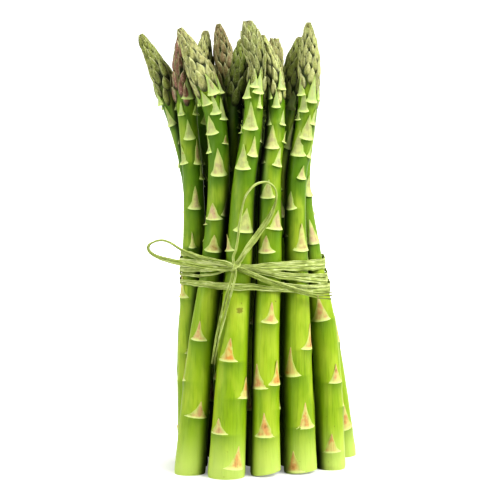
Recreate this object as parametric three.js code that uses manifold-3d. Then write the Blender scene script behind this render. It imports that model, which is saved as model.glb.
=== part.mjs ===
// A bundle of green asparagus, tied round the middle with raffia and standing on its cut ends.
// Millimetres, +Z up. The origin is on the surface, in the middle of the cut end of spear_08.
import * as THREE from 'three';
import { mergeVertices } from 'three/addons/utils/BufferGeometryUtils.js';
import Module from 'manifold-3d';

const wasm = await Module();
wasm.setup();

const SPEAR_GREEN = 0x8fb52c;
const RAFFIA_GREEN = 0xb4c878;

// ---- Driving dimensions -------------------------------------------------------------------

// Heights at which each spear's line is given: the cut, below the tie, the tie, above it, the neck.
const LEVELS = [0, 60, 97, 134, 168];
const RADIUS_LEVELS = [0, 97, 134, 168];

// One row a spear: its middle line [x, y] at each level, its tip [x, y, z], its radius at each radius
// level, the direction of its first scale leaf in degrees (0 is +X, 270 the front), how far its cut end
// slopes, and, for the front row, the [height, direction, length] of each scale leaf on its open side.
// A bow [x, y] is how far a head leans out sideways halfway up.
const SPEARS = [
  { name: 'spear_01', at: [[-32.5, -19], [-27, -16], [-21.5, -15], [-19, -13.5], [-21.5, -12.5]],
    tip: [-36.5, -14, 203.5], radii: [7.1, 5.3, 4.9, 4.8], turn: 255, slope: 0,
    leaves: [[26, 291, 8], [61, 252, 10], [101.5, 262, 8.5], [116, 243, 8.5], [136, 270, 12],
      [155, 239, 10]] },
  { name: 'spear_02', at: [[-15.5, -26], [-12, -22.5], [-9.5, -21], [-7, -20], [-3, -19.5]],
    tip: [-5.8, -19, 206.5], radii: [8.5, 6.1, 5.4, 4.2], turn: 300, slope: 0,
    leaves: [[4, 303, 10], [19.5, 233, 8], [36, 330, 10], [52.5, 255, 10.5], [102, 196, 9], [111, 286, 12],
      [139, 243, 12], [157, 258, 12]], bow: [2.4, 0] },
  { name: 'spear_03', at: [[2.5, -23], [2.5, -21.5], [4, -21], [4.5, -19], [7, -15]],
    tip: [1, -10.5, 200.5], radii: [7, 5.6, 5.1, 4.1], turn: 250, slope: 2.6,
    leaves: [[18, 264, 11], [40, 232, 12.5], [41.5, 324, 12.5], [70, 291, 11], [101.5, 251, 7.5],
      [112, 312, 9], [126, 260, 9], [141, 192, 9], [148, 256, 11]], bow: [1, 0] },
  { name: 'spear_04', at: [[18.7, -16], [17, -16], [16.5, -15.5], [16.5, -15], [21.5, -14.5]],
    tip: [22, -14.5, 206], radii: [7.8, 5.4, 4.6, 4.2], turn: 280, slope: 1.6,
    leaves: [[1, 243, 10], [21, 292, 11], [45, 238, 13], [57, 333, 13], [102, 301, 13], [121, 238, 9],
      [145, 246, 11], [153, 285, 11]] },
  { name: 'spear_05', at: [[33.2, -7.5], [30.2, -6], [23.5, -4.5], [18.6, -3], [22, 0]],
    tip: [23.5, 0.5, 195], radii: [7, 5.5, 4.8, 4.3], turn: 230, slope: 0,
    leaves: [[8, 274, 10], [40, 308, 10], [69, 270, 12], [104, 300, 12], [126, 320, 10]] },
  { name: 'spear_06', at: [[40, 22], [31, 11], [23.5, 7.5], [18.5, 8], [21, 9.5]],
    tip: [23, 10, 190], radii: [7.1, 5.5, 4.8, 4.2], turn: 300, slope: 0 },
  { name: 'spear_07', at: [[16.5, -0.5], [13, -0.5], [9.5, -0.5], [8.2, -1.5], [12.3, -4]],
    tip: [18, -5.5, 200], radii: [6.9, 5.4, 4.8, 4.2], turn: 260, slope: 0 },
  { name: 'spear_08', at: [[0, 0], [-2, -1.5], [-3, -4], [-3, -5.5], [-2.5, -5]],
    tip: [-2, -3.5, 196], radii: [7.2, 5.4, 4.7, 4], turn: 90, slope: 0, bow: [-3.6, 2.4] },
  { name: 'spear_09', at: [[-15.5, -4.5], [-15.5, -3], [-16, -1], [-15.5, -2], [-12.5, -3.5]],
    tip: [-8.5, -4.5, 199], radii: [6.9, 5.4, 4.7, 4.1], turn: 320, slope: 0, bow: [0.9, 0] },
  { name: 'spear_10', at: [[-31.5, -2.5], [-32, -3], [-30.5, -5], [-31, -4.5], [-34, -4]],
    tip: [-37, -4, 200.5], radii: [7.1, 5.5, 4.8, 4.2], turn: 240, slope: 0 },
  { name: 'spear_11', at: [[-32.5, 13], [-33, 10], [-30.5, 8], [-32, 6], [-41, 4]],
    tip: [-55.5, 1.5, 201.5], radii: [6.9, 5.3, 4.6, 4.1], turn: 215, slope: 0, bow: [1.4, 0] },
  { name: 'spear_12', at: [[-18.5, 19.5], [-18.5, 17.5], [-21, 16.5], [-25.5, 15.5], [-26.5, 15]],
    tip: [-25.5, 14.5, 204], radii: [7.1, 5.5, 4.8, 4], turn: 90, slope: 0 },
  { name: 'spear_13', at: [[-3.5, 21], [-4.5, 20], [-5.5, 19.5], [-9, 17], [-13.5, 13.5]],
    tip: [-19.5, 11.5, 207], radii: [7, 5.5, 4.8, 4.1], turn: 130, slope: 0 },
  { name: 'spear_14', at: [[10.5, 20], [8, 19.8], [7, 19], [5.5, 17], [5.5, 15.5]],
    tip: [7, 15.5, 200.5], radii: [7, 5.6, 4.9, 4.2], turn: 60, slope: 0 },
  { name: 'spear_15', at: [[24.8, 19.5], [20.3, 18.8], [18, 17.8], [16.5, 18.2], [18.5, 18.8]],
    tip: [22, 19.5, 203], radii: [6.8, 5.4, 4.7, 4.1], turn: 30, slope: 0 },
];

const SIDES = 8;
const STEM_STEP = 30; // height of one ring of stem faces
const HEAD_LENGTH = 37; // from neck to tip, along the height
const HEAD_RINGS = [0.35, 0.65, 0.84, 0.94, 1]; // shares of it with a ring of faces
const CUT_BELOW = 3; // a stem runs this far under the surface before it is cut off level
const NEIGHBOUR_GAP = 0.34; // left between two spears that press on each other
const REACH = 30; // spears further apart than this never touch

const GOLDEN_ANGLE = 137.5; // turn from one scale leaf to the next, in degrees
const FIRST_SCALE = 14; // height of the lowest scale leaf
const STEM_SCALE_STEP = 15; // height between scale leaves at the cut end
const STEM_SCALE_STEP_TOP = 9.5; // and at the neck
const STEM_SCALE_LENGTH = 11.5;
const STEM_SCALE_HALF_ANGLE = 44; // half of what it spans round the stem, in degrees
const STEM_SCALE_LIFT = 1.3; // how proud its point stands
const HEAD_SCALE_STEP = 3.6; // height between head scales at the neck
const HEAD_SCALE_STEP_TIP = 2;
const HEAD_SCALE_LENGTH = 8.4;
const HEAD_SCALE_LENGTH_TIP = 5;
const HEAD_SCALE_HALF_ANGLE = 44;
const HEAD_SCALE_LIFT = 1.3;
const SCALE_TUCK = 0.1; // how far the corners of its base tuck under the skin
const SCALE_ROOT = 2; // how deep its root sinks into what it grows from
const HEAD_SCALE_END = 5.5; // no scale leaf starts this close under the tip
const JITTER = 6; // degrees that a scale leaf's direction wanders

const TIE_BAND = [80.5, 101.5]; // heights between which the raffia presses the scale leaves flat
const PRESSED_LIFT = 0.35;
const BAND_GAP = 0.8; // from the stems to the inside of a wrap
const BAND_THICKNESS = 0.9;
const BAND_DIRECTIONS = 24; // faces of one wrap

// The three turns of the wrapped strand: width, and the height of its middle at left, front, right, back.
const WRAPS = [
  { width: 4.2, left: 99.5, front: 96.8, right: 96.4, back: 97.5 },
  { width: 3.6, left: 94.2, front: 95.4, right: 89, back: 89.6 },
  { width: 3, left: 86.6, front: 86.4, right: 84.2, back: 88.2 },
];

const KNOT = { at: [-11.4, -29.9, 96], width: 6.8, height: 6.2, depth: 4.2 };
const KNOT_TURN = { reach: 3.3, width: 2.4, thickness: 1.1 }; // the strand that crosses over the knot

// The free strands: a bow's two loops and the strand's two ends, each from the knot along its route.
const STRAND_SIDES = 8;
const STRAND_RADIUS = 1;
const STRAND_STEP = 5.4; // length of one step of a free strand
const STRANDS = {
  raffia_loop_left: [
    [-15.5, -30.4, 95], [-20.4, -30.2, 95.4], [-25.3, -29.8, 96], [-30.3, -29, 96.8], [-35.3, -28, 97.6],
    [-40.3, -26.6, 98.5], [-44.9, -25.2, 99.6], [-48.5, -24.3, 101.2], [-50.6, -23.8, 103.2],
    [-50.3, -23.8, 105.6], [-47.6, -24, 107.2], [-44, -24.6, 107.7], [-40.3, -25.6, 106.4],
    [-36.2, -27, 104], [-31.6, -28.6, 102], [-26.2, -30.4, 100.4], [-20.8, -31.8, 99.1],
    [-15.3, -32.6, 98.1],
  ],
  raffia_loop_right: [
    [-12.2, -30.5, 100.4], [-10.9, -30.4, 103.8], [-10, -30.2, 109.1], [-9.1, -30, 116.3],
    [-8, -29.6, 123], [-6.2, -29.2, 128.6], [-2.9, -28.7, 132.6], [1.2, -28.4, 134.2],
    [5, -28.2, 133.2], [7.2, -28.2, 129.9], [6.8, -28.5, 124.7], [4.3, -29, 118.9],
    [0.5, -29.8, 113.1], [-3.5, -30.8, 107.6], [-6.8, -31.5, 103], [-8.8, -31.7, 100],
  ],
  raffia_end_down: [
    [-12, -30.8, 91.8], [-13.2, -30.8, 87.1], [-15, -30, 81.1], [-16.6, -29, 74.7],
    [-18.2, -28.2, 68.2], [-19.6, -27.5, 61.8], [-20.7, -26.8, 56.2], [-21.4, -26.2, 51.5],
  ],
  raffia_end_right: [
    [-7.1, -30.9, 94.3], [-2, -30.6, 92], [3.4, -30, 89.7], [9.3, -29.2, 87.6],
    [15.2, -27.4, 85.6], [21.1, -25, 83.8], [26.8, -22, 82.2], [32.6, -18.9, 81.4],
  ],
};

// ---- Middle lines and radii ----------------------------------------------------------------

// A smooth line through values given at rising heights.
function smooth(heights, values, z) {
  const last = heights.length - 1;
  let k = 0;
  while (k < last - 1 && z > heights[k + 1]) k += 1;
  const slopeAt = (i) => {
    const a = Math.max(i - 1, 0);
    const b = Math.min(i + 1, last);
    return (values[b] - values[a]) / (heights[b] - heights[a]);
  };
  const span = heights[k + 1] - heights[k];
  const t = (z - heights[k]) / span;
  const t2 = t * t;
  const t3 = t2 * t;
  return (2 * t3 - 3 * t2 + 1) * values[k] + (t3 - 2 * t2 + t) * span * slopeAt(k)
    + (3 * t2 - 2 * t3) * values[k + 1] + (t3 - t2) * span * slopeAt(k + 1);
}

function middleOf(spear, z) {
  const heights = [...LEVELS, spear.tip[2]];
  const xs = [...spear.at.map((p) => p[0]), spear.tip[0]];
  const ys = [...spear.at.map((p) => p[1]), spear.tip[1]];
  const up = Math.min(Math.max((z - neckOf(spear)) / HEAD_LENGTH, 0), 1);
  const lean = Math.sin(Math.PI * up) ** 2;
  const [bowX, bowY] = spear.bow ?? [0, 0];
  const x = smooth(heights, xs, z) + bowX * lean;
  const y = smooth(heights, ys, z) + bowY * lean;
  return new THREE.Vector3(x, y, z);
}

function neckOf(spear) {
  return spear.tip[2] - HEAD_LENGTH;
}

// The radius without its scales: it tapers up the stem, then closes over the head to a blunt point.
function radiusAt(spear, z) {
  const neck = neckOf(spear);
  const up = Math.min(Math.max((z - neck) / HEAD_LENGTH, 0), 1);
  const stem = smooth(RADIUS_LEVELS, spear.radii, Math.min(z, neck, LEVELS[4]));
  return stem * (1 - 0.1 * up - 0.86 * up ** 6);
}

// Two directions square to the middle line at a height.
function framesAt(spear, z) {
  const step = 1;
  const along = middleOf(spear, z + step).sub(middleOf(spear, z - step)).normalize();
  const across = new THREE.Vector3(1, 0, 0).addScaledVector(along, -along.x).normalize();
  const back = new THREE.Vector3().crossVectors(along, across);
  return { across, back };
}

// Keeps a point of one spear on its own side of the surface halfway to each neighbour.
function keptClear(spear, point) {
  const own = middleOf(spear, point.z);
  for (const other of SPEARS) {
    if (other === spear || point.z > other.tip[2] + 1) continue;
    const towards = middleOf(other, Math.min(point.z, other.tip[2])).sub(own);
    towards.z = 0;
    const apart = towards.length();
    if (apart > REACH) continue;
    towards.divideScalar(apart);
    const radius = radiusAt(spear, point.z);
    const free = apart - radius - radiusAt(other, point.z);
    const limit = radius + free / 2 - NEIGHBOUR_GAP / 2;
    const beyond = point.clone().sub(own).dot(towards) - limit;
    if (beyond > 0) point.addScaledVector(towards, -beyond);
  }
  return point;
}

// The point of a spear at a height, in a direction round it (degrees), lifted off its surface.
function surfacePoint(spear, z, degrees, lift) {
  const { across, back } = framesAt(spear, z);
  const angle = THREE.MathUtils.degToRad(degrees);
  const pressed = z > TIE_BAND[0] && z < TIE_BAND[1];
  const off = pressed ? Math.min(lift, PRESSED_LIFT) : lift;
  const reach = Math.max(radiusAt(spear, z) + off, 0.05);
  const point = middleOf(spear, z);
  point.addScaledVector(across, reach * Math.cos(angle));
  point.addScaledVector(back, reach * Math.sin(angle));
  return keptClear(spear, point);
}

// ---- Solids --------------------------------------------------------------------------------

function solidOf(geometry) {
  geometry.deleteAttribute('normal');
  geometry.deleteAttribute('uv');
  const merged = mergeVertices(geometry, 1e-5);
  return new wasm.Manifold(new wasm.Mesh({
    numProp: 3,
    vertProperties: new Float32Array(merged.attributes.position.array),
    triVerts: new Uint32Array(merged.index.array),
  }));
}

function solidOfPoints(points, faces) {
  const geometry = new THREE.BufferGeometry();
  geometry.setAttribute('position', new THREE.Float32BufferAttribute(points.flatMap((p) => p.toArray()), 3));
  geometry.setIndex(faces.flat());
  return solidOf(geometry);
}

function geometryOf(solid) {
  const mesh = solid.getMesh();
  const geometry = new THREE.BufferGeometry();
  geometry.setAttribute('position', new THREE.Float32BufferAttribute(mesh.vertProperties, 3));
  geometry.setIndex(new THREE.Uint32BufferAttribute(mesh.triVerts, 1));
  return geometry;
}

// A closed skin over rings of points that all have the same number of sides.
function skinOver(rings) {
  const sides = rings[0].length;
  const points = rings.flat();
  const faces = [];
  for (let r = 0; r < rings.length - 1; r += 1) {
    for (let s = 0; s < sides; s += 1) {
      const next = (s + 1) % sides;
      const a = r * sides + s;
      const b = r * sides + next;
      faces.push([a, b, b + sides], [a, b + sides, a + sides]);
    }
  }
  const top = (rings.length - 1) * sides;
  for (let s = 1; s < sides - 1; s += 1) {
    faces.push([0, s + 1, s], [top, top + s, top + s + 1]);
  }
  return solidOfPoints(points, faces);
}

// The bare spear: a tapering stem that closes over the head.
function core(spear) {
  const neck = neckOf(spear);
  const heights = [-CUT_BELOW];
  const count = Math.round(neck / STEM_STEP);
  for (let i = 1; i <= count; i += 1) heights.push((neck * i) / count);
  for (const share of HEAD_RINGS) heights.push(neck + share * HEAD_LENGTH);
  return skinOver(heights.map((z) => ringAt(spear, z)));
}

function ringAt(spear, z) {
  const ring = [];
  for (let s = 0; s < SIDES; s += 1) ring.push(surfacePoint(spear, z, (360 * s) / SIDES, 0));
  return ring;
}

// A raised triangular leaf with a ridge: its point stands off the spear, its root is sunk into it.
function scaleLeaf(spear, { base, facing, length, halfAngle, lift }) {
  const place = (up, side, off) => surfacePoint(spear, base + up * length, facing + side * halfAngle, off);
  const left = place(0, -1, -SCALE_TUCK);
  const right = place(0, 1, -SCALE_TUCK);
  const point = place(1, 0, lift);
  const ridge = place(0.22, 0, lift * 0.9);
  const root = place(0.3, 0, -SCALE_ROOT);
  return solidOfPoints(
    [left, right, point, ridge, root],
    [[0, 1, 3], [1, 2, 3], [2, 0, 3], [1, 0, 4], [2, 1, 4], [0, 2, 4]],
  );
}

// A repeatable draw from -1 to 1 for the scale leaf of a number.
function draw(seed, number) {
  const s = Math.sin(seed * 127.1 + number * 311.7) * 43758.5453;
  return 2 * (s - Math.floor(s)) - 1;
}

// A scale leaf of the stem, pressed flat where the raffia goes over it.
function stemLeaf(base, facing, length) {
  return { base, facing, length, halfAngle: STEM_SCALE_HALF_ANGLE, lift: STEM_SCALE_LIFT };
}

function headLeaf(spear, base, facing) {
  const up = THREE.MathUtils.clamp((base - neckOf(spear)) / HEAD_LENGTH, 0, 1);
  const length = THREE.MathUtils.lerp(HEAD_SCALE_LENGTH, HEAD_SCALE_LENGTH_TIP, up);
  return { base, facing, length, halfAngle: HEAD_SCALE_HALF_ANGLE, lift: HEAD_SCALE_LIFT };
}

// Where the scale leaves grow: far apart on the stem, then closer and closer up the head.
// On a spear whose open side is given, the rule fills only the side that faces the other spears.
function scaleLeaves(spear, seed) {
  const neck = neckOf(spear);
  const given = (spear.leaves ?? []).map((leaf) => stemLeaf(...leaf));
  const grown = [];
  let base = FIRST_SCALE + 3 * draw(seed, 0);
  for (let number = 0; base < spear.tip[2] - HEAD_SCALE_END; number += 1) {
    const facing = spear.turn + GOLDEN_ANGLE * number + JITTER * draw(seed, number + 1);
    const up = (base - neck) / HEAD_LENGTH;
    if (up >= 0) {
      grown.push(headLeaf(spear, base, facing));
      base += THREE.MathUtils.lerp(HEAD_SCALE_STEP, HEAD_SCALE_STEP_TIP, up);
    } else {
      const turnedAway = Math.sin(THREE.MathUtils.degToRad(facing)) > 0.2;
      if (!spear.leaves || turnedAway) grown.push(stemLeaf(base, facing, STEM_SCALE_LENGTH));
      const step = THREE.MathUtils.lerp(STEM_SCALE_STEP, STEM_SCALE_STEP_TOP, base / neck);
      base += Math.min(step, Math.max(neck - base, 2 * HEAD_SCALE_STEP_TIP));
    }
  }
  return [...given, ...grown];
}

// Everything under the surface is cut away, along a slope where the knife went askew.
function cutEnd(spear, solid) {
  const size = 60;
  const knife = new THREE.BoxGeometry(size, size, size);
  const low = spear.at[0][0] - spear.radii[0];
  knife.translate(0, 0, -size / 2);
  knife.rotateY(-Math.atan2(spear.slope, 2 * spear.radii[0]));
  knife.translate(low, spear.at[0][1], 0);
  return solid.subtract(solidOf(knife));
}

function spearSolid(spear, seed) {
  let solid = core(spear);
  for (const leaf of scaleLeaves(spear, seed)) solid = solid.add(scaleLeaf(spear, leaf));
  return cutEnd(spear, solid);
}

// How far the spears reach from the bundle's middle at a height, in a direction.
function reachOfBundle(z, direction) {
  return Math.max(...SPEARS.map((spear) => middleOf(spear, z).dot(direction) + radiusAt(spear, z)));
}

// The height of a wrap's middle in a direction, eased between its four given heights.
function wrapHeight(wrap, direction) {
  const side = direction.x > 0 ? wrap.right : wrap.left;
  const face = direction.y > 0 ? wrap.back : wrap.front;
  return side * direction.x ** 2 + face * direction.y ** 2;
}

// One turn of the strand, drawn tight: flat between two spears and bent round each outer one.
function wrapSolid(wrap) {
  const turn = (2 * Math.PI) / BAND_DIRECTIONS;
  const lines = [];
  for (let k = 0; k < BAND_DIRECTIONS; k += 1) {
    const direction = new THREE.Vector3(Math.cos(turn * (k + 0.5)), Math.sin(turn * (k + 0.5)), 0);
    const z = wrapHeight(wrap, direction);
    lines.push({ direction, z, reach: reachOfBundle(z, direction) + BAND_GAP });
  }
  const cornerAt = (k, off, rise) => {
    const a = lines[(k + BAND_DIRECTIONS - 1) % BAND_DIRECTIONS];
    const b = lines[k % BAND_DIRECTIONS];
    const along = new THREE.Vector3(-a.direction.y, a.direction.x, 0);
    const slide = (b.reach + off - (a.reach + off) * Math.cos(turn)) / Math.sin(turn);
    const corner = a.direction.clone().multiplyScalar(a.reach + off).addScaledVector(along, slide);
    return corner.setZ((a.z + b.z) / 2 + rise);
  };
  const half = wrap.width / 2;
  const section = [[0, -half], [BAND_THICKNESS, -half], [BAND_THICKNESS, half], [0, half]];
  const sides = section.length;
  const points = [];
  const faces = [];
  for (let k = 0; k < BAND_DIRECTIONS; k += 1) {
    points.push(...section.map(([off, rise]) => cornerAt(k, off, rise)));
    const here = k * sides;
    const there = ((k + 1) % BAND_DIRECTIONS) * sides;
    for (let s = 0; s < sides; s += 1) {
      const next = (s + 1) % sides;
      faces.push([here + s, there + s, there + next], [here + s, there + next, here + next]);
    }
  }
  return solidOfPoints(points, faces);
}

// A tube of a flat or round section along a line.
function strandGeometry(line, halfWidth, halfThickness, steps) {
  const section = new THREE.Shape();
  for (let s = 0; s < STRAND_SIDES; s += 1) {
    const angle = (2 * Math.PI * (s + 0.5)) / STRAND_SIDES;
    const x = halfWidth * Math.cos(angle);
    const y = halfThickness * Math.sin(angle);
    if (s === 0) section.moveTo(x, y);
    else section.lineTo(x, y);
  }
  section.closePath();
  return new THREE.ExtrudeGeometry(section, { steps, extrudePath: line, curveSegments: 1 });
}

// A squashed lump with one turn of the strand drawn down over it.
function knotSolid() {
  const lump = new THREE.SphereGeometry(0.5, 10, 7);
  lump.scale(KNOT.width, KNOT.depth, KNOT.height);
  const { reach, width, thickness } = KNOT_TURN;
  const arc = [[1, 0.25], [0.55, -0.42], [0, -0.6], [-0.55, -0.42], [-1, 0.25]];
  const points = arc.map(([up, out]) => new THREE.Vector3(0.6 * up, out * KNOT.depth, up * reach));
  const over = strandGeometry(new THREE.CatmullRomCurve3(points), width / 2, thickness / 2, 8);
  return solidOf(lump).add(solidOf(over)).translate(KNOT.at);
}

function bandSolid() {
  let solid = knotSolid();
  for (const wrap of WRAPS) solid = solid.add(wrapSolid(wrap));
  return solid;
}

function freeStrand(route) {
  const line = new THREE.CatmullRomCurve3(route.map((p) => new THREE.Vector3(...p)));
  const steps = Math.round(line.getLength() / STRAND_STEP);
  return strandGeometry(line, STRAND_RADIUS, STRAND_RADIUS, steps);
}

// ---- The bundle ----------------------------------------------------------------------------

const bundle = new THREE.Group();

function addPiece(name, geometry, color, roughness) {
  const mesh = new THREE.Mesh(geometry, new THREE.MeshStandardMaterial({ color, roughness, metalness: 0 }));
  mesh.name = name;
  bundle.add(mesh);
}

SPEARS.forEach((spear, i) => addPiece(spear.name, geometryOf(spearSolid(spear, i + 1)), SPEAR_GREEN, 0.45));
addPiece('raffia_band', geometryOf(bandSolid()), RAFFIA_GREEN, 0.8);
for (const [name, route] of Object.entries(STRANDS)) addPiece(name, freeStrand(route), RAFFIA_GREEN, 0.8);

export default bundle;
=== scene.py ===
"""A bundle of green asparagus: fifteen spears on their cut ends, tied round the middle with raffia."""
import math

import bpy
import numpy as np
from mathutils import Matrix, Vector


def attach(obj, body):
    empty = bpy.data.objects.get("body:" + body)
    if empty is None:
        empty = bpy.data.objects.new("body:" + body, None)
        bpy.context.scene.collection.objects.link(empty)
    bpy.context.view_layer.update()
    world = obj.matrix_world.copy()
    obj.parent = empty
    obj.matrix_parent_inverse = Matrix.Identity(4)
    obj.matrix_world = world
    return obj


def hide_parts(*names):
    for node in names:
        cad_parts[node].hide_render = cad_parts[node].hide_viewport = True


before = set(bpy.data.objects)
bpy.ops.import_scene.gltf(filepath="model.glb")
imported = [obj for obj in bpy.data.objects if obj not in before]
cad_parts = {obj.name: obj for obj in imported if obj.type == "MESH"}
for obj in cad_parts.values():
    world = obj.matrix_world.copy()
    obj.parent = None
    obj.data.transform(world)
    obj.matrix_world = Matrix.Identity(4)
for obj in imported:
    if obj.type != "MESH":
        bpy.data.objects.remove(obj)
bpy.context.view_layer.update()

MM = 0.001

# ---- Camera ----
CAMERA_PLACE = (-4.66, -750, 160)  # mm
CAMERA_PITCH = 4.47  # degrees below level
CAMERA_LENS = 115.92  # mm
CAMERA_SENSOR = 36  # mm, square


def add_camera():
    camera = bpy.data.cameras.new("camera")
    camera.lens = CAMERA_LENS
    camera.sensor_width = CAMERA_SENSOR
    camera.clip_start = 0.01
    camera.clip_end = 50
    holder = bpy.data.objects.new("camera", camera)
    holder.location = Vector(CAMERA_PLACE) * MM
    holder.rotation_euler = (math.radians(90 - CAMERA_PITCH), 0, 0)
    bpy.context.scene.collection.objects.link(holder)
    bpy.context.scene.camera = holder


# ---- Driving dimensions of the spears, in mm ----
# Heights at which each spear's middle line and radius are given.
LEVELS = (0, 60, 97, 134, 168)
RADIUS_LEVELS = (0, 97, 134, 168)

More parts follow.
